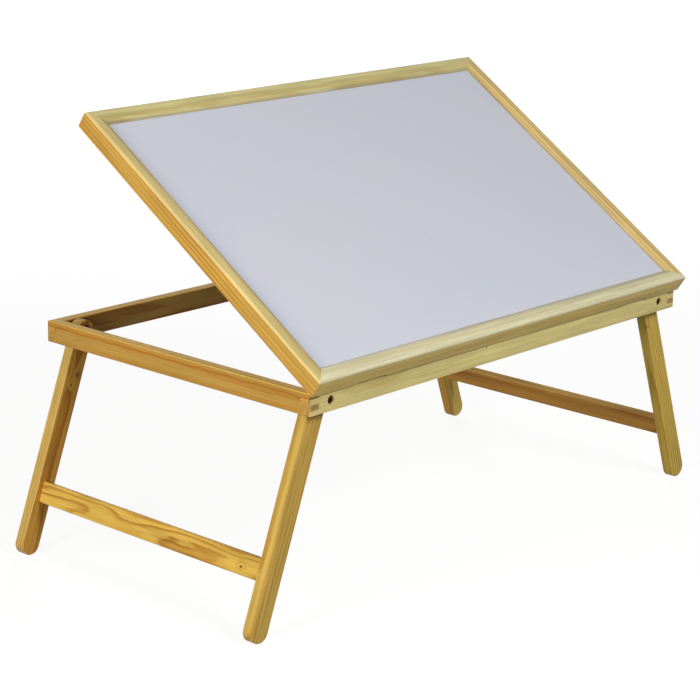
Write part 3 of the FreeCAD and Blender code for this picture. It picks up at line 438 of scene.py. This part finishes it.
class Recipe(Wiring):
    """A Geometry Nodes tree for metal pieces that repeat. Its sizes are named inputs, and heights
    run from a piece's outer face into the wood."""

    def __init__(self, name, **sizes):
        self.tree = bpy.data.node_groups.new(name, "GeometryNodeTree")
        super().__init__(self.tree)
        self.sizes = sizes
        for size, value in sizes.items():
            kind = "NodeSocketInt" if isinstance(value, int) else "NodeSocketFloat"
            self.tree.interface.new_socket(size, in_out="INPUT", socket_type=kind)
        self.tree.interface.new_socket("piece", in_out="OUTPUT", socket_type="NodeSocketGeometry")
        self.given = self.nodes.new("NodeGroupInput").outputs

    def moved(self, shape, x=0.0, z=0.0):
        step = self.node("ShaderNodeCombineXYZ", None, X=x, Z=z).outputs[0]
        return self.node("GeometryNodeTransform", None, Geometry=shape, Translation=step).outputs[0]

    def rod(self, radius, bottom, top, sides=48):
        depth = self.math("SUBTRACT", top, bottom)
        shape = self.node("GeometryNodeMeshCylinder", None, Vertices=sides, Radius=radius, Depth=depth)
        middle = self.math("MULTIPLY", self.math("ADD", top, bottom), 0.5)
        return self.moved(shape.outputs[0], z=middle)

    def cone(self, start, end, bottom, depth):
        shape = self.node("GeometryNodeMeshCone", None, Vertices=48, Radius_Bottom=start, Radius_Top=end,
                          Depth=depth)
        return self.moved(shape.outputs[0], z=bottom)

    def without(self, shape, *tools):
        """The shape with the tools cut out of it."""
        settings = {"operation": "DIFFERENCE", "solver": "EXACT"}
        for tool in tools:
            shape = self.node("GeometryNodeMeshBoolean", settings, Mesh_1=shape, Mesh_2=tool).outputs[0]
        return shape

    def row(self, shape, count, x=0.0, z=0.0):
        """Copies of the shape, each one step from the last."""
        step = self.node("ShaderNodeCombineXYZ", None, X=x, Z=z).outputs[0]
        points = self.node("GeometryNodeMeshLine", None, Count=count, Offset=step).outputs[0]
        return self.node("GeometryNodeInstanceOnPoints", None, Points=points, Instance=shape).outputs[0]

    def thread(self, root, height, bottom, pitch, turns):
        """Ridges round a rod, one to a turn."""
        path = self.node("GeometryNodeCurvePrimitiveCircle", None, Resolution=32, Radius=root)
        section = self.node("GeometryNodeCurvePrimitiveCircle", None, Resolution=4, Radius=height)
        ridge = self.node("GeometryNodeCurveToMesh", None, Curve=path.outputs[0],
                          Profile_Curve=section.outputs[0]).outputs[0]
        return self.row(self.moved(ridge, z=bottom), turns, z=pitch)

    def close(self, material, *shapes):
        joined = self.node("GeometryNodeJoinGeometry")
        for shape in shapes:
            self.links.new(shape, joined.inputs[0])
        real = self.node("GeometryNodeRealizeInstances", None, Geometry=joined.outputs[0]).outputs[0]
        faced = self.node("GeometryNodeSetMaterial", None, Geometry=real, Material=material).outputs[0]
        self.node("NodeGroupOutput", None, piece=faced)
        self.material = material

    def make(self, name, node, body, slot, place, width=0.0):
        """Grow the piece, set it in its place and let it stand for a CAD node."""
        seed = bpy.data.objects.new(name + "_seed", bpy.data.meshes.new(name + "_seed"))
        bpy.context.scene.collection.objects.link(seed)
        growth = seed.modifiers.new("recipe", "NODES")
        growth.node_group = self.tree
        for item in self.tree.interface.items_tree:
            if item.in_out == "INPUT":
                growth[item.identifier] = self.sizes[item.name]
        evaluated = seed.evaluated_get(bpy.context.evaluated_depsgraph_get())
        grown = bpy.data.meshes.new_from_object(evaluated)
        shape = bmesh.new()
        shape.from_mesh(grown)
        bpy.data.objects.remove(seed)
        bmesh.ops.transform(shape, matrix=place, verts=shape.verts)
        if width:
            ease(shape, width, lambda edge: True, segments=1)
        return finished(shape, name, node, body, slot, self.material)


def corners(node):
    """The lowest and the highest corner of a CAD node's box."""
    return [Vector(corner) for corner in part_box(node)]


dark_steel = metal("darkened steel", (62, 36, 26), rough=0.62)
dull_steel = metal("dull burnished steel", (58, 50, 42), rough=0.6)
ALONG_Y = Matrix.Rotation(math.radians(-90), 4, "X")
AGAINST_Y = Matrix.Rotation(math.radians(90), 4, "X")

# How far a cutting tool reaches past the face that it cuts.
PAST_FACE = 0.001
bolt_low, bolt_high = corners("front_left_pivot_bolt")
bolt = Recipe("socket-head bolt", head_radius=(bolt_high.z - bolt_low.z) / 2, head_height=0.003,
              socket=0.00173, socket_depth=0.0016, root=0.00225, root_start=0.0028, ridge=0.00025,
              length=bolt_high.y - bolt_low.y, pitch=0.0008, turns=22)
size = bolt.given
head = bolt.without(bolt.rod(size["head_radius"], 0.0, size["head_height"]),
                    bolt.rod(size["socket"], -PAST_FACE, size["socket_depth"], sides=6))
first_turn = bolt.math("SUBTRACT", size["length"], bolt.math("MULTIPLY", size["pitch"], size["turns"]))
bolt.close(dark_steel, head, bolt.rod(size["root"], size["root_start"], size["length"]),
           bolt.thread(size["root"], size["ridge"], first_turn, size["pitch"], size["turns"]))
for corner in ("front_left", "front_right", "back_left", "back_right"):
    low, high = corners(f"{corner}_pivot_bolt")
    middle = (low + high) / 2
    inwards = ALONG_Y if corner.startswith("front") else AGAINST_Y
    outer_face = low.y if corner.startswith("front") else high.y
    place = Matrix.Translation((middle.x, outer_face, middle.z)) @ inwards
    bolt.make(f"{corner}_bolt_steel", f"{corner}_pivot_bolt", "base", "steel", place)


THICKER_THAN_NUTS = 0.008


def four_of(node, name, thickness, bore, sides, eased):
    """Nuts or washers, one at each pivot: two along the long rail, and two from front to back."""
    low, high = corners(node)
    radius = (high.z - low.z) / 2 / math.cos(math.pi / sides)
    ring = Recipe(name, radius=radius, bore=bore, thickness=thickness,
                  from_left_to_right=high.x - low.x - 2 * radius,
                  from_front_to_back=high.y - low.y - thickness)
    size = ring.given
    shape = ring.without(ring.rod(size["radius"], 0.0, size["thickness"], sides),
                         ring.rod(size["bore"], -PAST_FACE, THICKER_THAN_NUTS + PAST_FACE))
    pair = ring.row(shape, 2, x=size["from_left_to_right"])
    ring.close(dull_steel, ring.row(pair, 2, z=size["from_front_to_back"]))
    place = Matrix.Translation((low.x + radius, low.y, (low.z + high.z) / 2)) @ ALONG_Y
    ring.make(f"{node}_steel", node, "base", "steel", place, eased)


four_of("pivot_nuts", "hexagon nuts", thickness=0.004, bore=0.0025, sides=6, eased=0.0003)
four_of("pivot_spacer_washers", "spacer washers", thickness=0.0015, bore=0.00265, sides=64, eased=0.0001)
four_of("pivot_nut_washers", "nut washers", thickness=0.001, bore=0.00265, sides=64, eased=0.0001)


# ---------------------------------------------------------------------------------------------
# Legs: pine sticks with round ends, in pairs joined by a dowelled stretcher. Each pair swings on
# its two pivot bolts and stops against the frame's side rail.
# ---------------------------------------------------------------------------------------------
SPLAY = math.radians(20)
LEG_AXIS = {"left": Vector((-math.sin(SPLAY), 0, -math.cos(SPLAY))),
            "right": Vector((math.sin(SPLAY), 0, -math.cos(SPLAY)))}
LEG_END_TINT = (1.0, 0.94, 0.96)
# Each leg's own pair and its lit-side pair are copies of one wood set to the light on those faces: painted
# light and shade. The back right leg's front pair is made paler as painted light, as that face lies in the
# tray's shade.
LEG_TONES = {
    "left_front": dict(early=(194, 162, 82), late=(166, 120, 42), shift=(6.1, 0.0, 0.0), ring=0.0045,
                       pith=(0.02, 0.004)),
    "left_back": dict(early=(190, 142, 60), late=(152, 94, 30), shift=(7.3, 0.01, 0.02), ring=0.0036,
                      lit_side=((192, 163, 90), (168, 122, 54)),
                      knots=[(-0.069, -0.004, -0.006, 0.0016), (-0.0565, 0.001, -0.006, 0.0013)]),
    "right_front": dict(early=(202, 174, 82), late=(168, 124, 40), shift=(8.7, 0.02, 0.01), ring=0.004,
                        pith=(0.022, 0.0),
                        knots=[(-0.085, 0.0098, -0.005, 0.0017), (-0.031, 0.0098, -0.005, 0.0014)]),
    "right_back": dict(early=(236, 204, 108), late=(204, 150, 56), shift=(9.9, 0.0, 0.04), ring=0.004,
                       lit_side=((204, 160, 76), (170, 112, 40))),
}


SHORTEST = 0.0002


def leg_arris(edge):
    """Any edge but the shortest: the round ends are made of short ones, which are eased too."""
    return edge.calc_length() > SHORTEST


for key, tone in LEG_TONES.items():
    side, end = key.split("_")
    wood = pine(f"pine {side} {end} leg", end=LEG_END_TINT, **tone)
    left_side = Y.cross(LEG_AXIS[side])
    stick(f"{side}_{end}_leg_wood", f"{side}_{end}_leg", f"{side}_legs", LEG_AXIS[side], left_side, wood,
          leg_arris, width=0.0008, lit_side=left_side)

# The right stretcher's lit-side pair on its top is paler and its other faces, under the table, darker:
# painted light and painted shade.
STRETCHER_TONES = {
    "left": dict(early=(203, 166, 76), late=(156, 104, 34), shift=(11.2, 0.0, 0.0), ring=0.0026,
                 pith=(0.012, -0.03), wander=0.0036, knots=[(-0.134, 0.003, 0.0045, 0.0016)]),
    "right": dict(early=(182, 134, 62), late=(148, 90, 30), shift=(12.6, 0.0, 0.02), ring=0.005,
                  pith=(0.01, -0.026), lit_side=((196, 160, 92), (168, 118, 56))),
}
for side, tone in STRETCHER_TONES.items():
    stick(f"{side}_stretcher_wood", f"{side}_stretcher", f"{side}_legs", Y, LEG_AXIS[side],
          pine(f"pine {side} stretcher", **tone), long_edges)
    dress(f"{side}_stretcher_dowels", birch)


# ---------------------------------------------------------------------------------------------
# Tray edge: a rounded pine moulding, mitred at the corners and held by a staple across each mitre
# from below. The panel sits in its groove.
# ---------------------------------------------------------------------------------------------
TILT = math.radians(33.4)
UP_TRAY = Vector((0, math.cos(TILT), math.sin(TILT)))
OFF_TRAY = Vector((0, -math.sin(TILT), math.cos(TILT)))
FAR_SIDES = {"back": UP_TRAY, "right": X}
MOULDING_LIES = {"front": (X, UP_TRAY), "back": (X, UP_TRAY), "left": (UP_TRAY, -X), "right": (UP_TRAY, -X)}
# Each moulding's lit-side pair is a paler copy on the faces turned up off the tray, painted light, which
# also gives the front moulding's rounded shoulder a painted highlight. The back moulding's own pair is a
# greyed copy, painted shade with a painted reflection of the panel on its inner wall; the right moulding's
# own pair is darkened as painted shade against the left lamp on its inner wall. Their outer pair is the
# wood's colour on the far side.
MOULDING_TONES = {
    "front": dict(early=(222, 196, 112), late=(198, 164, 76), lit_side=((212, 206, 170), (190, 176, 128)),
                  shift=(14.1, 0.0, 0.0), ring=0.009, pith=(0.03, -0.02), wander=0.0016, inside=1,
                  strength=0.55, knots=[(0.053, -0.007, 0.0095, 0.0014), (0.2, -0.0095, 0.0005, 0.0009)]),
    "back": dict(early=(176, 162, 124), late=(160, 140, 98), lit_side=((202, 192, 136), (174, 156, 96)),
                 outer=GOLD, shift=(15.5, 0.01, 0.0), ring=0.006, pith=(0.02, -0.03), inside=-1,
                 strength=0.8),
    "left": dict(early=(198, 160, 78), late=(172, 110, 32), lit_side=((202, 182, 122), (184, 158, 96)),
                 shift=(16.9, 0.0, 0.01), ring=0.0046, pith=(-0.004, -0.04), wander=0.0012, inside=-1,
                 knots=[(-0.108, 0.0086, 0.002, 0.0008), (0.148, 0.0086, 0.001, 0.0008)]),
    "right": dict(early=(190, 150, 78), late=(168, 118, 52), lit_side=((208, 184, 124), (184, 144, 80)),
                  outer=GOLD, shift=(18.3, 0.0, 0.02), ring=0.0038, pith=(0.012, -0.012), inside=1,
                  wander=0.0009),
}


FULL_LENGTH = 0.25


def moulding_arris(edge):
    """Edges that run the whole length of a moulding. Those of the mitres stay sharp."""
    return edge.calc_length() > FULL_LENGTH


for side, tone in MOULDING_TONES.items():
    along, across = MOULDING_LIES[side]
    stick(f"{side}_moulding_wood", f"tray_{side}_moulding", "tray", along, across,
          pine(f"pine {side} moulding", **tone), moulding_arris, width=0.0004, lit_side=OFF_TRAY,
          far=FAR_SIDES.get(side, NOWHERE))

zinc = metal("zinc-plated steel", (176, 174, 168))
dress("tray_corner_staples", zinc)


# ---------------------------------------------------------------------------------------------
# Tray panel: 3 mm hardboard with a smooth cool white melamine face, let into the mouldings'
# groove. Its underside is bare brown hardboard.
# ---------------------------------------------------------------------------------------------
def melamine(name, colour):
    """A smooth white face, very slightly mottled between cool and warm."""
    material, surface = bare_material(name)
    w = Wiring(material.node_tree)
    place = w.own_place()
    cloud = w.noise(place, 9.0, 4.0, 0.55)
    grit = w.noise(place, 900.0, 3.0, 0.6)
    base = srgb(*colour)
    warm = tinted(base, 1.0, 0.985, 0.985)
    cool = tinted(base, 0.965, 0.985, 1.0)
    tint = w.mix(w.rise(cloud, 0.35, 0.65), cool, warm)
    colour = w.mix(1.0, tint, w.grey(w.rise(grit, 0.3, 0.7, 0.975, 1.015)), "MULTIPLY")
    w.finish(surface, colour, w.rise(cloud, 0.3, 0.7, 0.46, 0.54), grit, strength=0.12, depth=0.00006)
    surface.inputs["Specular IOR Level"].default_value = 0.3
    return material


def hardboard(name, dark, pale):
    """Pressed brown fibre, matt and a little fluffy."""
    material, surface = bare_material(name)
    w = Wiring(material.node_tree)
    place = w.own_place()
    fluff = w.noise(place, 420.0, 4.0, 0.65)
    cloud = w.noise(place, 14.0, 3.0, 0.5)
    colour = w.mix(w.rise(fluff, 0.3, 0.7), srgb(*dark), srgb(*pale))
    colour = w.mix(1.0, colour, w.grey(w.rise(cloud, 0.3, 0.7, 0.9, 1.08)), "MULTIPLY")
    w.finish(surface, colour, w.rise(fluff, 0.3, 0.7, 0.7, 0.85), fluff, strength=0.35, depth=0.0002)
    return material


white_face = melamine("white melamine", (203, 205, 216))
brown_back = hardboard("brown hardboard", (104, 72, 44), (146, 108, 68))
panel = finished(merged_copy("tray_panel"), "panel_board", "tray_panel", "tray", "white_board",
                 white_face, brown_back)
for face in panel.data.polygons:
    face.material_index = 0 if face.normal.dot(OFF_TRAY) > 0.9 else 1


# ---------------------------------------------------------------------------------------------
# Bearer: a pine batten under the panel, dowelled to the front and back mouldings. The prop swings
# on a bolt through it.
# ---------------------------------------------------------------------------------------------
bearer_pine = pine("pine bearer", *ORANGE, shift=(19.7, 0.0, 0.0), ring=0.004)
stick("bearer_wood", "tray_bearer", "tray", UP_TRAY, X, bearer_pine, long_edges, width=0.0004)
dress("tray_bearer_dowels", birch)


# ---------------------------------------------------------------------------------------------
# Hinges: two small stamped brass butt hinges, let flush into the frame and the front moulding,
# each with a steel pin and four brass-plated countersunk screws of steel.
# ---------------------------------------------------------------------------------------------
def hardware(name, node, body, slot, material, width):
    """A metal piece with its sharp edges broken."""
    shape = merged_copy(node)
    ease(shape, width, lambda edge: True, segments=1)
    return finished(shape, name, node, body, slot, material)


brass = metal("dull brass", (186, 154, 86), rough=0.4)
for side in ("left", "right"):
    for part in ("base", "tray"):
        hardware(f"{side}_{part}_leaf_brass", f"{side}_hinge_{part}_leaf", part, "hinge_brass", brass,
                 width=0.00012)
    dress(f"{side}_hinge_pin", dark_steel)

BLUNT_POINT = 0.00005
screw_low, screw_high = corners("hinge_base_screws")
screw = Recipe("countersunk screws", head_radius=0.0025, head_height=0.0015, root=0.001, ridge=0.00025,
               length=screw_high.z - screw_low.z, first_turn=0.0022, pitch=0.0008, turns=7,
               slot_length=0.003, slot_width=0.0006, slot_height=0.0012, point_length=0.001,
               overlap=0.0001, hinge_to_hinge=0.435, screw_to_screw=0.026)
size = screw.given
slots = []
for x, y in (("slot_length", "slot_width"), ("slot_width", "slot_length")):
    arm = screw.node("ShaderNodeCombineXYZ", None, X=size[x], Y=size[y], Z=size["slot_height"]).outputs[0]
    slots.append(screw.node("GeometryNodeMeshCube", None, Size=arm).outputs[0])
head = screw.without(screw.cone(size["head_radius"], size["root"], 0.0, size["head_height"]), *slots)
shank_end = screw.math("SUBTRACT", size["length"], size["point_length"])
shank = screw.rod(size["root"], screw.math("MULTIPLY", size["head_height"], 0.9), shank_end)
point_start = screw.math("SUBTRACT", shank_end, size["overlap"])
point_length = screw.math("ADD", size["point_length"], size["overlap"])
point = screw.cone(screw.math("MULTIPLY", size["root"], 0.98), BLUNT_POINT, point_start, point_length)
turns = screw.thread(size["root"], size["ridge"], size["first_turn"], size["pitch"], size["turns"])
whole = screw.node("GeometryNodeJoinGeometry")
for shape in (head, shank, point, turns):
    screw.links.new(shape, whole.inputs[0])
pair = screw.row(whole.outputs[0], 2, x=size["screw_to_screw"])
screw.close(brass, screw.row(pair, 2, x=size["hinge_to_hinge"]))

HALF_CLOSING_GAP = 0.0002
first_x = screw_low.x + screw.sizes["head_radius"]
screw_row = (screw_low.y + screw_high.y) / 2
setback = screw_row - frame_low.y
hinge_axis = Vector((0, frame_low.y, frame_high.z + HALF_CLOSING_GAP))
down = Matrix.Translation((first_x, screw_row, screw_high.z)) @ Matrix.Rotation(math.pi, 4, "X")
screw.make("hinge_base_screws_brass", "hinge_base_screws", "base", "steel", down)
tray_face = hinge_axis + setback * UP_TRAY + (hinge_axis.z - screw_high.z) * OFF_TRAY
into_tray = Matrix.Translation((first_x, tray_face.y, tray_face.z)) @ Matrix.Rotation(TILT, 4, "X")
screw.make("hinge_tray_screws_brass", "hinge_tray_screws", "tray", "steel", into_tray)


# ---------------------------------------------------------------------------------------------
# Prop: two pine arms with round ends, a birch dowel through their feet, and a bolt with a nut on
# which they swing.
# ---------------------------------------------------------------------------------------------
foot_low, foot_high = corners("prop_foot_dowel")
bolt_low, bolt_high = corners("prop_pivot_bolt")
prop_axis = (foot_low + foot_high) / 2 - (bolt_low + bolt_high) / 2
prop_axis.x = 0
for side, shift in (("left", 21.1), ("right", 22.9)):
    arm_pine = pine(f"pine {side} arm", *ORANGE, shift=(shift, 0.0, 0.01), ring=0.004)
    stick(f"prop_{side}_arm_wood", f"prop_{side}_arm", "prop", prop_axis, X, arm_pine, leg_arris,
          width=0.0006)
dress("prop_foot_dowel", birch)
hardware("prop_bolt_steel", "prop_pivot_bolt", "tray", "steel", zinc, 0.0003)
hardware("prop_nut_steel", "prop_pivot_nut", "tray", "steel", zinc, 0.0003)


# ---------------------------------------------------------------------------------------------
# Studio: a white floor in white surroundings, four soft round lamps - at the left, in front, low
# at the left front corner, and behind - and the camera at the photograph's place.
# ---------------------------------------------------------------------------------------------
def seen_directly(w):
    """1 for what the camera sees, directly or in a gloss or through glass."""
    path = w.node("ShaderNodeLightPath").outputs
    seen = w.math("MAXIMUM", path["Is Camera Ray"], path["Is Glossy Ray"])
    return w.math("MAXIMUM", seen, path["Is Transmission Ray"])


FLOOR_REACH = 8
FLOOR_GREY = 0.12
NEAR_TABLE, FAR_FROM_TABLE = 0.9, 2.6
GLOW_NEAR, GLOW_FAR = 0.9, 1.0
WHITE = (1, 1, 1)

reach = [(-FLOOR_REACH, -FLOOR_REACH, 0), (FLOOR_REACH, -FLOOR_REACH, 0),
         (FLOOR_REACH, FLOOR_REACH, 0), (-FLOOR_REACH, FLOOR_REACH, 0)]
floor_mesh = bpy.data.meshes.new("floor")
floor_mesh.from_pydata(reach, [], [(0, 1, 2, 3)])
floor = bpy.data.objects.new("floor", floor_mesh)
bpy.context.scene.collection.objects.link(floor)
floor_material = bpy.data.materials.new("white floor")
floor_material.use_nodes = True
floor_material.node_tree.nodes.clear()
w = Wiring(floor_material.node_tree)
matt = w.node("ShaderNodeBsdfDiffuse", None, Color=(FLOOR_GREY, FLOOR_GREY, FLOOR_GREY, 1))
glow = w.rise(w.vector("LENGTH", w.own_place()), NEAR_TABLE, FAR_FROM_TABLE, GLOW_NEAR, GLOW_FAR)
glow = w.math("MULTIPLY", seen_directly(w), glow)
glow = w.node("ShaderNodeEmission", None, Color=(*WHITE, 1), Strength=glow)
both = w.node("ShaderNodeAddShader", None, _0=matt.outputs[0], _1=glow.outputs[0])
w.node("ShaderNodeOutputMaterial", None, Surface=both.outputs[0])
floor_mesh.materials.append(floor_material)

SKY_LIGHT = 0.12
world = bpy.data.worlds.new("studio")
bpy.context.scene.world = world
world.use_nodes = True
world.node_tree.nodes.clear()
w = Wiring(world.node_tree)
strength = w.math("ADD", w.math("MULTIPLY", seen_directly(w), 1.0 - SKY_LIGHT), SKY_LIGHT)
sky = w.node("ShaderNodeBackground", None, Color=(*WHITE, 1), Strength=strength)
w.node("ShaderNodeOutputWorld", None, Surface=sky.outputs[0])


LAMPS_AIM = Vector((0, 0, 0.2))
WARM_WHITE = (1.0, 0.96, 0.88)


def lamp(name, place, size, power, colour=WHITE, glints=True):
    """A round soft lamp. One without glints lights the wood but isn't mirrored in its lacquer."""
    light = bpy.data.lights.new(name, "AREA")
    light.shape = "DISK"
    light.size = size
    light.energy = power
    light.color = colour
    holder = bpy.data.objects.new(name, light)
    holder.location = place
    holder.visible_glossy = glints
    holder.rotation_euler = (LAMPS_AIM - Vector(place)).to_track_quat("-Z", "Y").to_euler()
    bpy.context.scene.collection.objects.link(holder)


lamp("left lamp", (-2.88, -0.3, 0.95), size=1.0, power=62, colour=WARM_WHITE)
lamp("front lamp", (-0.15, -2.46, 1.92), size=1.0, power=50)
lamp("low lamp", (-2.15, -1.93, 1.0), size=1.2, power=20)
lamp("back lamp", (2.1, 2.2, 0.75), size=1.2, power=50, glints=False)

CAMERA_PLACE = (-1.74293, -1.52866, 0.83308)
HEADING, PITCH, ROLL = 48.0310, -15.5399, 1.0375
LENS = 113.299
SENSOR = 36
camera_data = bpy.data.cameras.new("camera")
camera_data.sensor_width = SENSOR
camera_data.sensor_fit = "HORIZONTAL"
camera_data.lens = LENS
camera = bpy.data.objects.new("camera", camera_data)
camera.matrix_world = (Matrix.Translation(CAMERA_PLACE)
                       @ Matrix.Rotation(math.radians(-HEADING), 4, "Z")
                       @ Matrix.Rotation(math.radians(90 + PITCH), 4, "X")
                       @ Matrix.Rotation(math.radians(ROLL), 4, "Z"))
bpy.context.scene.collection.objects.link(camera)
bpy.context.scene.camera = camera
bpy.context.scene.view_settings.view_transform = "Standard"
